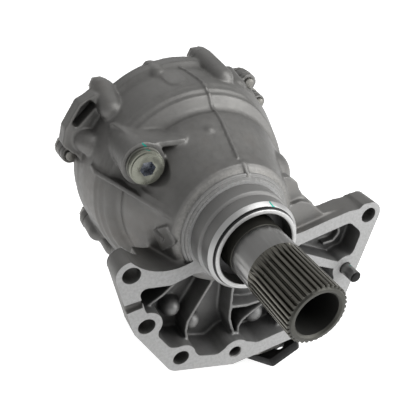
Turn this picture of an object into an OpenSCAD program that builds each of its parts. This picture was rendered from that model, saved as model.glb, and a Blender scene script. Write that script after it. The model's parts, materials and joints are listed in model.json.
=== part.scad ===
/* [Mounting flange] */
// Thickness of the mounting flange at its bolt bosses
flange_t = 20; // [16:1:22]
// Clearance hole for the mounting bolts, diameter
mount_hole_d = 13.5; // [12.5:0.5:14]
// Tapped mounting hole, drilled diameter
tapped_hole_d = 10.2; // [8.5:0.1:11]
// Depth of the ribbed pockets behind the flange face
pocket_depth = 26; // [22:1:27]
// Width of the stiffening ribs in the pockets
rib_w = 2.6; // [2.2:0.2:4]
// Stud diameter
stud_d = 10; // [8:1:11]
// Stud length beyond the flange face
stud_out = 14; // [12:1:30]

/* [Spigot] */
// Outer diameter of the locating spigot
spigot_d = 69; // [67:0.5:70]
// Length of the spigot in front of the flange face
spigot_len = 27.8; // [24:0.1:30]
// Bore of the spigot, which holds the input seal
spigot_bore_d = 55.4; // [52:0.1:56]

/* [Case] */
// Distance from the flange face to the cover joint
cover_y = 118; // [116:1:121]
// Casting wall
wall = 6; // [5:0.5:7]
// Depth of the end cover
cover_depth = 50; // [48:1:54]
// Radius of the joint between case and cover
joint_r = 86.2; // [86:0.1:87]

/* [Input shaft] */
// Outer diameter of the splined tube
tube_d = 42; // [40:0.5:43]
// Through bore of the tube, for a half shaft
tube_bore_d = 30.4; // [28:0.2:31]
// Distance that the tube stands out of the flange face
tube_out = 98.9; // [90:0.1:110]
// Length of the splined end
spline_len = 47; // [40:1:55]
// Number of spline teeth
spline_teeth = 36; // [30:1:40]
// Depth of a spline groove
spline_depth = 1.5; // [1:0.1:1.8]

/* [Bevel gears] */
// Teeth of the ring gear
ring_teeth = 36; // [36:1:36]
// Teeth of the pinion
pinion_teeth = 13; // [13:1:13]
// Module at the outer end of the teeth
gear_module = 4; // [4:0.1:4]
// Face width of the teeth
face_w = 22; // [18:1:22]
// Backlash taken off each tooth's thickness
backlash = 0.35; // [0.3:0.05:0.5]

/* [Pinion drive] */
// Distance of the pinion axis behind the flange face
pinion_y = 62.5; // [62:0.5:63]
// Lean of the pinion axis from straight down, in degrees
pinion_lean = 20; // [18:1:22]
// Distance from the input axis to the companion flange's outer face
companion_q = 181; // [179:1:183]
// Radius of the companion flange's lobes
lobe_r = 48; // [46:1:51]

/* [Hidden] */
$fn = 48;
eps = 0.01;

// Mounting flange, as places in the flange plane: [x, z, outer radius of the boss]
boss_a = [-80.1, -13.8, 11];
boss_b = [-72.2, -62.9, 10.5];
boss_c = [-46.4, -106.1, 13];
boss_d = [1.4, -121.1, 13.2];
boss_e = [119.5, -21.7, 11.5];
boss_f = [103.5, -69.3, 13];
boss_g = [91, -114, 13];
rim = [boss_a, boss_b, boss_c, boss_d, boss_g, boss_e];
through_bosses = [boss_a, boss_b, boss_c, boss_e, boss_g];
collar_r = 42.5;

// Fill plug, drain plug and breather, in the casing's own places
fill_at = [-53.5, 46.5];
fill_face_y = 38;
drain_at = [-52, -62];
drain_face_y = 60;
breather_at = [31, 54];

// Cover bolts: [angle round the input axis, radius of the bolt, radius of its boss, depth of the boss];
// depth 0 is for a bolt that stands in a leaning boss
cover_bolt_list = [
    [163, 91, 7, 6], [127.5, 89.5, 8, 0], [70.5, 88, 8.5, 0], [41, 91, 7.5, 6], [27, 89, 6.5, 6],
    [-24, 87, 8, 22], [-50, 87, 8, 22], [-100, 85.5, 8, 22], [-136, 87.5, 8.5, 16], [-151, 85.5, 8.5, 16]
];
dowel_list = [[100, 83, 6, 14], [-114, 83, 6, 12]];
joint_at = [1.5, 2.5];

// Step up from the tube to its seal land, and root radius of the stud
land_step = 0.4;
stud_root_r = stud_d / 2 - 0.4;

// Places along the input axis
front_cup_y = 12;
bearing_w = 20;
seat_r = 25;
ring_back_y = 106;
ring_bolt_r = 50;
rear_cup_y = 130;
shaft_end_y = 152;

// Places along the pinion axis, measured from the input axis
head_q = 84;
head_w = 18;
tail_q = 129;
tail_w = 17;
nose_q = 161;
nut_q = 168;

// Gear geometry
ring_pitch_r = gear_module * ring_teeth / 2;
pinion_pitch_r = gear_module * pinion_teeth / 2;
cone_dist = sqrt(pow(ring_pitch_r, 2) + pow(pinion_pitch_r, 2));
pinion_cone = atan(pinion_pitch_r / ring_pitch_r);
ring_cone = 90 - pinion_cone;
profile_shift = 0.3;
pressure_angle = 20;

// A point at polar place r, a
function polar(r, a) = [r * cos(a), r * sin(a)];

// Rounded outline: each point is [x, y, corner radius]
function unit(v) = v / norm(v);
function corner(p, c, n) =
    let (
        u = unit([p[0] - c[0], p[1] - c[1]]),
        v = unit([n[0] - c[0], n[1] - c[1]]),
        half = acos(max(-1, min(1, u * v))) / 2,
        mid = unit(u + v),
        centre = [c[0], c[1]] + mid * c[2] / sin(half),
        turn = (u[0] * v[1] - u[1] * v[0]) > 0 ? -1 : 1,
        a0 = atan2(-mid[1], -mid[0]),
        sweep = 90 - half,
        steps = c[2] > 4 ? 6 : 4
    )
    [for (i = [0 : steps]) centre + polar(c[2], a0 - turn * sweep * (1 - 2 * i / steps))];
function rounded(pts) = [
    for (i = [0 : len(pts) - 1])
        let (n = len(pts), p = pts[(i + n - 1) % n], c = pts[i], q = pts[(i + 1) % n])
        each (c[2] == 0 ? [[c[0], c[1]]] : corner(p, c, q))
];

// Solid between y0 and y1 of an outline drawn in x and z
module slab(y0, y1) {
    rotate([90, 0, 0])
        translate([0, 0, -y1])
            linear_extrude(y1 - y0)
                children();
}

// Turned solid round the input axis, from a profile of radius and y
module turned() {
    rotate([-90, 0, 0])
        rotate_extrude($fn = 96)
            children();
}

// Cylinder along +Y from y0 to y1 at a place [x, z]
module rod(at, y0, y1, r, r2 = -1) {
    translate([at[0], y0, at[1]])
        rotate([-90, 0, 0])
            cylinder(h = y1 - y0, r1 = r, r2 = r2 < 0 ? r : r2);
}

// Frame of the pinion axis: local z runs out from the input axis
module on_pinion_axis() {
    translate([0, pinion_y, 0])
        rotate([0, 180 - pinion_lean, 0])
            children();
}

// Straight band between two circles, touching both
module band(p, q) {
    d = norm([q[0] - p[0], q[1] - p[1]]);
    a = atan2(q[1] - p[1], q[0] - p[0]);
    s = acos((p[2] - q[2]) / d);
    pc = [p[0], p[1]];
    qc = [q[0], q[1]];
    polygon([
        pc + polar(p[2], a + s), pc + polar(p[2], a - s),
        qc + polar(q[2], a - s), qc + polar(q[2], a + s)
    ]);
}

// Closed belt round a ring of circles [x, y, radius], taken anticlockwise
function out_angle(p, q) =
    let (d = norm([q[0] - p[0], q[1] - p[1]]))
    atan2(q[1] - p[1], q[0] - p[0]) - acos((p[2] - q[2]) / d);
function belt(c, by = 0, steps = 8) = [
    for (i = [0 : len(c) - 1])
        let (
            n = len(c),
            a0 = out_angle(c[(i + n - 1) % n], c[i]),
            a1 = out_angle(c[i], c[(i + 1) % n]),
            turn = (a1 - a0 + 720) % 360
        )
        for (k = [0 : steps])
            [c[i][0], c[i][1]] + polar(c[i][2] + by, a0 + turn * k / steps)
];

// Outline of the flange block; by moves its outer edge out or in
module flange_outline(by = 0) {
    difference() {
        polygon(belt(rim, by));
        polygon([[118, -6], [109, -13.2], [99, -12.7], [81, -15.2], [58, -19.2], [44, -20], [30, 30], [118, 30]]);
        translate([-48, 20])
            circle(r = 39, $fn = 96);
    }
}

// Outline of the big lower pocket, before the bosses are kept
module lower_pocket() {
    polygon(rounded([
        [-76.5, -27, 5], [-52, -32, 8], [-34, -28, 8], [-20, -30, 6], [40, -34, 0], [60, -50, 0],
        [93, -67, 4], [93, -98, 10], [78, -113.5, 10], [22, -119.5, 6], [10, -113, 0],
        [-6, -112, 0], [-15, -117, 6], [-31, -111, 6], [-39, -97, 0], [-55, -92, 8],
        [-64, -76, 6], [-61, -58, 0], [-72, -50, 4]
    ]));
}

module upper_pocket() {
    polygon(rounded([
        [44, -35, 3], [56, -30.5, 6], [102, -23.5, 8], [115, -37, 8], [109.5, -56, 8], [97, -61.5, 4], [62, -41.5, 6]
    ]));
}

// Keep-out of a pocket: the metal round each bolt hole and round the spigot
module boss_keep() {
    for (b = [boss_b, boss_c, boss_d, boss_f, boss_g]) {
        translate([b[0], b[1]])
            circle(r = max(12.2, b[2] - 0.8));
    }
    circle(r = 39.5, $fn = 96);
}

arm_back_y = 22;
module flange_block() {
    difference() {
        union() {
            slab(0, flange_t)
                flange_outline();
            slab(flange_t - eps, arm_back_y)
                flange_outline(-2);
            slab(arm_back_y - eps, pocket_depth + wall)
                difference() {
                    flange_outline(-4.5);
                    polygon([[52, -5], [130, -5], [130, -60], [104, -60], [58, -38]]);
                }
            rod(boss_d, 6, flange_t + 4, boss_d[2] - 0.5);
            rod(boss_f, 6, flange_t + 4, boss_f[2] - 1);
            slab(6, flange_t)
                polygon([[50, -20.5], [118, -11.5], [124, -30], [110, -36], [50, -44]]);
        }
        slab(-1, pocket_depth)
            difference() {
                lower_pocket();
                boss_keep();
            }
        slab(-1, arm_back_y - 5)
            difference() {
                upper_pocket();
                boss_keep();
            }
        // Spot faces for the bolt heads
        for (b = through_bosses) {
            rod(b, flange_t, pocket_depth + wall + 1, 10.6);
        }
        // Vent slot across the rim between the first two bolts
        slab(-1, 5)
            polygon([[-95, -38.2], [-74, -37.2], [-74, -44.4], [-95, -46.8]]);
    }
}

// Rib in a pocket along a line of places, up to y0
module rib(line, y0 = 8, w = rib_w) {
    for (i = [0 : len(line) - 2]) {
        p = line[i];
        q = line[i + 1];
        slab(y0, pocket_depth + 1)
            band([p[0], p[1], w / 2], [q[0], q[1], w / 2]);
    }
}

pocket_ribs = [
    [[-36, -31], [-56.2, -46.2], [-68, -52]],
    [[-8, -38], [-15.1, -46.2], [-32.5, -73.1], [-36.7, -80.1], [-38.5, -89.5], [-37, -103]],
    [[2.4, -38], [2.2, -60.8], [-0.3, -91.1], [2.1, -102.6], [6, -116]],
    [[40, -80], [28, -88], [19.1, -92.4], [11.5, -97.2], [8.3, -102.5], [7.4, -112]],
    [[1, -79.6], [15.4, -83.2], [28, -83.4]],
    [[44, -36], [50, -80], [46, -117]],
    [[58, -46], [74, -112]]
];

// Low shelf in the right arm's pocket, and the domes that show inside the big pocket
shelf_line = [[98, -27], [102, -40], [96, -47], [86, -47]];
pocket_dome_list = [[-46, -70, 8], [-30, -90, 8], [27, -103, 9.5]];
module pocket_domes() {
    for (p = pocket_dome_list) {
        translate([p[0], pocket_depth - 5, p[1]])
            sphere(r = p[2]);
        rod(p, pocket_depth - 5, pocket_depth + wall, p[2]);
    }
}

// Outer profile of the casing round the input axis: [radius, y]
case_profile = [
    [0, 0], [38.4, 0], [38.7, 0.9], [40.4, 1], [40.7, 2], [42, 2.2], [collar_r, 2.8], [collar_r, 4], [48, 7],
    [50, 14], [55, 26], [61.5, 40], [66, 50], [67, 54], [66.8, 57], [69, 60], [75.5, 63], [77, 64],
    [77.2, 66.5], [80, 68.5], [80.6, 71.5], [82.3, 74], [82.8, 80], [84.3, 97], [84.6, cover_y + 1],
    [0, cover_y + 1]
];

// Inner profile of the casing, from the bearing bore to the cover joint
cavity_profile = [
    [0, 31], [44, 34], [50, 45], [58, 56], [66, 66], [71, 74], [74, 82], [75.8, 87], [77.5, 97], [78, 108],
    [78, cover_y + 2], [0, cover_y + 2]
];

// Spigot: front lip, ring groove, lead-in cone, pilot, relief and foot
groove_r = spigot_d / 2 - 4.95;
groove_y = -spigot_len + 0.8;
groove_w = 1.95;
foot_r = 36.3;
module spigot() {
    r = spigot_d / 2;
    lip_r = r - 3.4;
    groove_end = groove_y + groove_w;
    turned()
        polygon([
            [0, -spigot_len], [lip_r - 0.5, -spigot_len], [lip_r, -spigot_len + 0.5], [lip_r, groove_y],
            [groove_r, groove_y], [groove_r, groove_end], [r - 2.9, groove_end], [r - 2.3, groove_end + 0.2],
            [r, groove_end + 2.9], [r, -13], [r - 0.5, -12.8], [r - 0.5, -12], [foot_r - 0.8, -11.4],
            [foot_r, -10.6], [foot_r, 1], [0, 1]
        ]);
}

// Boss round a cover bolt b, with a domed end towards the flange; a short boss is flat and drilled through
blind_depth = 10;
module cover_boss(b) {
    c = polar(b[1], b[0]);
    rod(c, cover_y - b[3], cover_y + 1, b[2]);
    if (b[3] >= blind_depth) {
        translate([c[0], cover_y - b[3], c[1]])
            sphere(r = b[2]);
    }
}

// Domed boss that leans outwards from p at y0 to q at the joint; both are [angle, radius]
module leaning_boss(p, y0, q, r) {
    a = polar(p[1], p[0]);
    b = polar(q[1], q[0]);
    d = [b[0] - a[0], cover_y - y0, b[1] - a[1]];
    turn = atan2(d[2], d[0]);
    lean = acos(d[1] / norm(d));
    translate([a[0], y0, a[1]]) {
        sphere(r = r);
        rotate([0, -turn, 0])
            rotate([0, 0, -lean])
                rotate([-90, 0, 0])
                    cylinder(h = norm(d) + 6, r = r);
    }
}

// The neck that holds the pinion's bearings; turned so that its seam lies clear of the casing's ridge
module nose() {
    on_pinion_axis()
        rotate(40)
            rotate_extrude($fn = 96)
                polygon([
                    [0, 24], [44, 24], [44, 106], [42, 112], [38.5, 120], [37.5, nose_q - 6], [36, nose_q],
                    [0, nose_q]
                ]);
}

module plug_boss() {
    rod(fill_at, fill_face_y, 100, 16, 11);
    rod(drain_at, drain_face_y, 104, 15);
}

// Plate in a plane through the input axis at angle a, from an outline of [radius, y]
module radial_plate(a, w, aside = 0) {
    rotate([0, -a, 0])
        translate([0, 0, aside - w / 2])
            linear_extrude(w)
                children();
}

// Webs and ribs that tie the plug boss to the bell and to the drum
module plug_webs() {
    translate([0, 0, 54])
        rotate([0, 2, 0])
            linear_extrude(4.6)
                polygon([[-62, 84], [-57, 62], [-46, 39], [-23, 37], [-19, 41], [-22, 60], [-30, 84]]);
    radial_plate(159.4, 3.4)
        polygon([[50, 10.5], [85.5, 72], [85, 84], [52, 60], [44, 20]]);
    radial_plate(155.6, 3, -0.5)
        polygon([[50, 12.5], [62, 33], [64, 60], [52, 60], [44, 20]]);
}

// Profile of the casing grown outwards by g, from y0 to y1
module grown(g, y0, y1) {
    intersection() {
        turned()
            polygon([for (p = case_profile) [p[0] < 1 ? 0 : p[0] + g, p[1]]]);
        slab(y0, y1)
            square(220, center = true);
    }
}

// Casting seam over the top, and the low pad beside it
seam_line = [[3, 106], [5.5, 97], [8, 80], [9, 60], [9, 43], [6.5, 20], [5.2, 12]];
module seam() {
    w = 0.9;
    intersection() {
        grown(1.5, 12, 106);
        linear_extrude(100)
            polygon(concat(
                [for (p = seam_line) [p[0] - w, p[1]]],
                [for (i = [len(seam_line) - 1 : -1 : 0]) [seam_line[i][0] + w, seam_line[i][1]]]
            ));
    }
    intersection() {
        turned()
            polygon([[30, 1.6], [40.6, 1.2], [43.6, 3], [48.6, 7], [49.5, 10], [30, 10]]);
        linear_extrude(100)
            polygon([[6.6, 1], [9.4, 1], [8.6, 9.8], [5.8, 9.8]]);
    }
}

module top_pad() {
    intersection() {
        grown(1, 76, cover_y + 1);
        linear_extrude(100)
            union() {
                translate([-7.4, 85])
                    circle(r = 7.6);
                polygon([[-15, 85], [0.2, 85], [-1.6, 119], [-16.8, 119]]);
            }
    }
}

// Raised pad with a hooked groove, low on the left of the bell
module hook_pad() {
    translate([-50, 13, 0.5])
        rotate([0, 0, 28])
            rotate([0, -90, 0])
                difference() {
                    translate([0, 0, -8])
                        linear_extrude(10.4)
                            polygon(rounded([[11, -2.2, 1.5], [0, -10.8, 1.5], [-12, 1.8, 1.5], [3, 9.8, 1.5]]));
                    translate([0, 0, 0.4])
                        linear_extrude(4)
                            polygon([[9, 8], [3.5, 3.5], [1, -1.5], [-3.4, 0.6], [-2.6, 2.2], [0.2, 1.2], [2, 5], [7, 10]]);
                }
}

// The bell and drum, shaved on the right where the casing is slimmer
module bell_and_drum() {
    difference() {
        turned()
            polygon(case_profile);
        translate([-20, 0, -8])
            turned()
                polygon([[93.2, 56], [104.2, 86], [108, 97], [130, 97], [130, 56]]);
    }
    translate([joint_at[0], 0, joint_at[1]])
        turned()
            polygon([
                [0, 100], [80, 100], [83.6, 106], [joint_r, 109], [joint_r, cover_y + 1], [0, cover_y + 1]
            ]);
}

module casing_outside() {
    bell_and_drum();
    spigot();
    flange_block();
    for (line = pocket_ribs) {
        rib(line);
    }
    rib(shelf_line, 11, 3);
    pocket_domes();
    for (b = cover_bolt_list) {
        cover_boss(b);
    }
    leaning_boss([131, 84.5], 98, [127.5, 89.5], 9.2);
    leaning_boss([68, 83], 88, [70.5, 88], 9.2);
    leaning_boss([151.5, 83.5], 98, [153, 89.5], 9.2);
    // Hanger lug with a window, between two cover bosses
    slab(cover_y - 13, cover_y + 1)
        polygon(rounded([
            concat(polar(80, 126), [0]), concat(polar(97.5, 130), [3]), concat(polar(103.5, 138), [4]),
            concat(polar(103.5, 150), [4]), concat(polar(101, 157.5), [4]), concat(polar(80, 165), [0])
        ]));
    nose();
    plug_boss();
    for (b = dowel_list) {
        cover_boss(b);
    }
    side_lobe();
    plug_webs();
    seam();
    top_pad();
    hook_pad();
    // Small boss in the hollow beside the seam
    translate([-2.5, 42, 57])
        sphere(r = 6.2);
    // Low mound on the right of the drum
    leaning_boss([54, 80], 96, [53, 83.5], 8.5);
}

// Lobe beside the neck, and the web that ties it to the right arm
module side_lobe() {
    rod([45.7, 13], 42, 90, 20);
    translate([45.7, 42, 13])
        sphere(r = 20);
    slab(12, 20)
        polygon([[30, 30], [50, 24], [56.5, 18], [58.5, 12.2], [62, 6.2], [72, -4], [72, -26], [30, -26]]);
    slab(7, 20)
        polygon([[30, 0], [58, 4], [66, 0.5], [80, -13], [95, -12.8], [112, -12.8], [112, -26], [30, -26]]);
}

module casing_inside() {
    turned()
        polygon(cavity_profile);
    turned()
        polygon([
            [0, -spigot_len - 1], [spigot_bore_d / 2, -spigot_len - 1], [spigot_bore_d / 2, -5],
            [24, -5], [24, 6], [36, 6], [36, front_cup_y], [40, front_cup_y], [40, 35], [0, 35]
        ]);
    on_pinion_axis() {
        translate([0, 0, 48])
            cylinder(h = head_q + head_w - 48, r = 36);
        translate([0, 0, 60])
            cylinder(h = tail_q - 60 + 1, r = 27);
        translate([0, 0, tail_q])
            cylinder(h = nose_q, r = 31);
    }
    for (b = through_bosses) {
        rod(b, -1, flange_t + 20, mount_hole_d / 2);
    }
    rod(boss_d, -1, 22, tapped_hole_d / 2);
    rod(boss_d, -1, 0.6, 7, 5);
    rod(boss_f, -1, 0.8, 6.4, 5);
    rod(boss_f, -1, 18, stud_root_r);
    for (b = cover_bolt_list) {
        rod(polar(b[1], b[0]), cover_y - (b[3] == 0 ? 14 : 19), cover_y + 2, 4);
    }
    for (b = dowel_list) {
        rod(polar(b[1], b[0]), cover_y - 8, cover_y + 2, 4);
    }
    // Window of the hanger lug
    slab(cover_y - 14, cover_y + 2)
        polygon(rounded([
            concat(polar(91.5, 134), [1.5]), concat(polar(98.8, 134), [2]), concat(polar(100.6, 139), [2]),
            concat(polar(100.2, 147), [2]), concat(polar(95.5, 148), [1.5])
        ]));
    // Joint face
    slab(cover_y, cover_y + 30)
        square(260, center = true);
    // Spot faces and threads of the two plugs
    rod(fill_at, 10, fill_face_y, 16.2);
    rod(drain_at, drain_face_y - 15, drain_face_y, 12.5);
    rod(fill_at, fill_face_y - 1, 80, 9);
    rod(drain_at, drain_face_y - 1, 100, 7);
}

module case() {
    color([0.56, 0.56, 0.55])
        difference() {
            casing_outside();
            casing_inside();
        }
}

// End cover
cover_end_y = cover_y + cover_depth;
bolt_face_y = cover_y + 9;
module cover() {
    color([0.56, 0.56, 0.55])
        difference() {
            union() {
                turned()
                    polygon([
                        [0, cover_y + 2], [81, cover_y + 2], [81, cover_y + 12], [74, cover_y + 22],
                        [60, cover_y + 33], [46, cover_y + 38], [40, cover_y + 41], [38, cover_end_y],
                        [0, cover_end_y]
                    ]);
                translate([joint_at[0], 0, joint_at[1]])
                    turned()
                        polygon([
                            [0, cover_y], [joint_r - 0.5, cover_y], [joint_r - 0.5, cover_y + 4],
                            [joint_r - 3, cover_y + 7], [0, cover_y + 7]
                        ]);
                for (b = cover_bolt_list) {
                    rod(polar(b[1], b[0]), cover_y, bolt_face_y, b[2] + 0.6);
                }
                for (b = dowel_list) {
                    rod(polar(b[1], b[0]), cover_y, cover_y + 7, b[2]);
                }
                // Ear behind the hanger lug
                slab(cover_y, cover_y + 5)
                    polygon([
                        polar(80, 128), polar(97, 131), polar(101.5, 139), polar(101, 149), polar(96, 156),
                        polar(80, 160)
                    ]);
                rod(breather_at, cover_y + 20, cover_y + 38, 7);
                for (a = [0 : 45 : 315]) {
                    rotate([0, a + 12, 0])
                        slab(cover_y + 6, cover_y + 36)
                            polygon([[40, -2], [66, -2], [66, 2], [40, 2]]);
                }
            }
            turned()
                polygon([
                    [0, cover_y - 1], [78, cover_y - 1], [78, cover_y + 4], [75, cover_y + 9],
                    [66, cover_y + 19], [54, cover_y + 27], [46, rear_cup_y + 14], [46, rear_cup_y + 2],
                    [40, rear_cup_y + 2], [40, rear_cup_y + 24], [34, rear_cup_y + 24], [34, 157], [0, 157]
                ]);
            rod([0, 0], 150, 170, 22);
            rod([0, 0], 160, 170, 27);
            for (b = cover_bolt_list) {
                rod(polar(b[1], b[0]), cover_y - 1, bolt_face_y + 1, 4.5);
                rod(polar(b[1], b[0]), bolt_face_y, bolt_face_y + 16, 8.2);
            }
            for (b = dowel_list) {
                rod(polar(b[1], b[0]), cover_y - 1, cover_y + 5.5, 4);
            }
            rod(breather_at, cover_y + 10, cover_y + 39, 4);
        }
}

// Flanged hex bolt along Y, head away from the case, under-head face at y
module hex_bolt(at, y, length, shank_r, head_af, head_h) {
    rod(at, y - length, y + eps, shank_r);
    rod(at, y, y + 1.6, head_af * 0.66);
    translate([at[0], y + 1.6 - eps, at[1]])
        rotate([-90, 0, 0])
            cylinder(h = head_h, r = head_af / 2 / cos(30), $fn = 6);
}

function cover_bolt_length(depth) = depth == 0 ? 22 : depth < blind_depth ? depth + 11 : 26;
module cover_bolts() {
    color([0.62, 0.62, 0.60])
        for (b = cover_bolt_list) {
            hex_bolt(polar(b[1], b[0]), bolt_face_y, cover_bolt_length(b[3]), 4, 12, 6);
        }
}

module cover_dowels() {
    color([0.7, 0.7, 0.7])
        for (b = dowel_list) {
            rod(polar(b[1], b[0]), cover_y - 7.5, cover_y + 5, 4);
        }
}

module spigot_o_ring() {
    color([0.05, 0.05, 0.05])
        rotate([-90, 0, 0])
            rotate_extrude($fn = 96)
                translate([groove_r + groove_w / 2, groove_y + groove_w / 2])
                    circle(r = groove_w / 2 - 0.02, $fn = 24);
}

// Lip seal: casing r, lip r, from y0 over a width
module lip_seal(y0, w, r_out, r_lip) {
    turned()
        polygon([
            [r_out, y0], [r_out, y0 + w], [r_out - 1.6, y0 + w], [r_out - 1.6, y0 + 2],
            [r_lip + 1.6, y0 + 2], [r_lip + 2.2, y0 + w - 2], [r_lip + 0.9, y0 + w - 1.6],
            [r_lip, y0 + w - 3.4], [r_lip + 0.5, y0]
        ]);
}

module input_seal() {
    color([0.08, 0.08, 0.08])
        lip_seal(-15, 9, spigot_bore_d / 2, tube_d / 2 + land_step + 0.05);
}

module half_shaft_seal() {
    color([0.08, 0.08, 0.08])
        lip_seal(160, 8, 27, 17.5);
}

// Section of the splined tube
module spline_section() {
    pitch = 360 / spline_teeth;
    difference() {
        circle(d = tube_d - 0.2, $fn = 96);
        for (i = [0 : spline_teeth - 1]) {
            rotate(i * pitch)
                polygon([
                    polar(tube_d / 2 - spline_depth, -pitch * 0.13),
                    polar(tube_d / 2 - spline_depth, pitch * 0.13),
                    polar(tube_d / 2 + 0.5, pitch * 0.34),
                    polar(tube_d / 2 + 0.5, -pitch * 0.34)
                ]);
        }
    }
}

module input_shaft() {
    r = tube_d / 2;
    y_spline = -tube_out + spline_len;
    color([0.42, 0.42, 0.42])
        difference() {
            union() {
                slab(-tube_out + 1.2, y_spline)
                    spline_section();
                turned()
                    polygon([
                        [0, -tube_out], [r - spline_depth - 0.6, -tube_out],
                        [r - spline_depth, -tube_out + 1.2], [r - spline_depth, y_spline - 8],
                        [r, y_spline], [r, -30], [r + land_step, -29.5], [r + land_step, 8],
                        [24, 9], [24, front_cup_y - 0.5],
                        [seat_r, front_cup_y - 0.5], [seat_r, front_cup_y + bearing_w],
                        [29, front_cup_y + bearing_w], [29, front_cup_y + bearing_w + 5],
                        [27, 40], [27, 88], [44, ring_back_y - 8], [44, ring_back_y], [60, ring_back_y],
                        [60, ring_back_y + 9], [36, ring_back_y + 9], [30, ring_back_y + 12], [30, rear_cup_y],
                        [seat_r, rear_cup_y], [seat_r, shaft_end_y], [0, shaft_end_y]
                    ]);
            }
            rod([0, 0], -tube_out - 1, shaft_end_y + 1, tube_bore_d / 2);
            rod([0, 0], -tube_out - eps, -tube_out + 1.5, tube_bore_d / 2 + 1.5, tube_bore_d / 2);
            for (i = [0 : 7]) {
                rod(polar(ring_bolt_r, i * 45), 90, 125, 4.05);
            }
        }
}

// Involute of a virtual spur gear on the back cone
function inv(a) = tan(a) * 180 / PI - a;
function half_tooth(rho, rv, base, half) = half + inv(pressure_angle) - (rho > base ? inv(acos(base / rho)) : 0);

// Outline of one bevel tooth on the back cone, up one flank and down the other, apex of the cones at the origin
function flank_steps(teeth) = teeth > 20 ? 3 : 4;
function tooth_points(teeth, cone, shift, start, scale_by) =
    let (
        r = gear_module * teeth / 2,
        rv = r / cos(cone),
        base = rv * cos(pressure_angle),
        thick = gear_module * (PI / 2 + 2 * shift * tan(pressure_angle)) - backlash,
        half = thick / 2 / rv * 180 / PI,
        tip = rv + gear_module * (1 + shift),
        root = rv - gear_module * (1.3 - shift),
        steps = flank_steps(teeth),
        rhos = [for (i = [0 : steps]) root + (tip - root) * i / steps],
        flank = [for (p = rhos) [p, half_tooth(p, rv, base, half)]],
        down = [for (i = [steps : -1 : 0]) [flank[i][0], flank[i][1]]],
        up = [for (p = flank) [p[0], -p[1]]]
    )
    [for (p = concat(up, down))
        let (
            a = start + p[1] / cos(cone),
            d = p[0] * cos(cone),
            z = cone_dist / cos(cone) - p[0] * sin(cone)
        )
        scale_by * [d * cos(a), d * sin(a), z]];

function all_teeth(teeth, cone, shift, start, scale_by) =
    [for (i = [0 : teeth - 1]) each tooth_points(teeth, cone, shift, start + i * 360 / teeth, scale_by)];

function on_circle(points, rz) =
    [for (p = points) let (a = atan2(p[1], p[0])) [rz[0] * cos(a), rz[0] * sin(a), rz[1]]];

function square_strip(n, a, b) =
    [for (i = [0 : n - 1]) let (k = (i + 1) % n) [a * n + i, b * n + i, b * n + k, a * n + k]];

function split_strip(n, a, b) =
    [for (i = [0 : n - 1])
        let (k = (i + 1) % n)
        each [[a * n + i, b * n + k, a * n + k], [a * n + i, b * n + i, b * n + k]]];

// Toothed ring: flanks from the outer to the inner cone, both end faces, and the walls that sink into the blank
module toothed_ring(teeth, cone, shift, start, walls) {
    outer = all_teeth(teeth, cone, shift, start, 1);
    inner = all_teeth(teeth, cone, shift, start, (cone_dist - face_w) / cone_dist);
    n = len(outer);
    polyhedron(
        points = concat(
            inner, outer, on_circle(outer, walls[0]), on_circle(outer, walls[1]),
            on_circle(outer, walls[2]), on_circle(outer, walls[3])
        ),
        faces = concat(
            square_strip(n, 0, 1), split_strip(n, 1, 2), square_strip(n, 2, 3), square_strip(n, 3, 4),
            square_strip(n, 4, 5), split_strip(n, 5, 0)
        ),
        convexity = 6
    );
}

// Point at radius r on the cone that ends the teeth, outer (scale 1) or inner
function end_cone(cone, r, scale_by) = [r, scale_by * cone_dist / cos(cone) - r * tan(cone)];
inner_scale = (cone_dist - face_w) / cone_dist;

module ring_gear() {
    back = ring_back_y - pinion_y;
    rim_r = 69.3;
    bore_r = 48.6;
    color([0.35, 0.35, 0.36])
        translate([0, pinion_y, 0])
            rotate([-90, 0, 0])
                difference() {
                    union() {
                        rotate_extrude($fn = 96)
                            polygon([
                                [44.05, 26.5], [54, 26.5], [66, 34], [rim_r + 1.9, 34], [rim_r + 1.9, 40],
                                [rim_r + 0.4, back], [44.05, back]
                            ]);
                        toothed_ring(
                            ring_teeth, ring_cone, -profile_shift, 0,
                            [end_cone(ring_cone, rim_r, 1), [rim_r, 36], [bore_r, 30],
                                end_cone(ring_cone, bore_r, inner_scale)]
                        );
                    }
                    for (i = [0 : 7]) {
                        rotate(-i * 45)
                            translate([ring_bolt_r, 0, back - 14])
                                cylinder(h = 18, r = 4);
                    }
                }
}

module ring_gear_bolts() {
    color([0.3, 0.3, 0.3])
        for (i = [0 : 7]) {
            hex_bolt(polar(ring_bolt_r, i * 45), ring_back_y + 9, 21, 4, 11, 5);
        }
}

// Taper roller bearing, small end at z = 0: inner radius, outer radius, width
taper = 12;
race_gap = 0.03;
function mid_r(ri, ro) = (ri + ro) / 2;
function roller_r(ri, ro) = (ro - ri) * 0.22;
function apex(ri, ro) = mid_r(ri, ro) / tan(taper);
function roller_half_angle(ri, ro) = atan(roller_r(ri, ro) * sin(taper) / mid_r(ri, ro));
function race_r(ri, ro, w, z, side) =
    (apex(ri, ro) + z - w / 2) * tan(taper + side * roller_half_angle(ri, ro)) + side * race_gap;

module bearing_cup(ri, ro, w) {
    color([0.6, 0.6, 0.62])
        rotate_extrude($fn = 96)
            polygon([
                [race_r(ri, ro, w, 0, 1), 0], [ro, 0], [ro, w - 3], [race_r(ri, ro, w, w - 3, 1), w - 3]
            ]);
}

module bearing_cone(ri, ro, w) {
    z0 = 1;
    z1 = 2.2;
    z2 = w - 2.2;
    rib_h = roller_r(ri, ro) * 0.5;
    r1 = race_r(ri, ro, w, z1, -1);
    r2 = race_r(ri, ro, w, z2, -1);
    color([0.6, 0.6, 0.62])
        rotate_extrude($fn = 96)
            polygon([
                [ri, z0], [r1 + rib_h * 0.6, z0], [r1 + rib_h * 0.6, z1], [r1, z1],
                [r2, z2], [r2 + rib_h, z2], [r2 + rib_h, w], [ri, w]
            ]);
}

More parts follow.
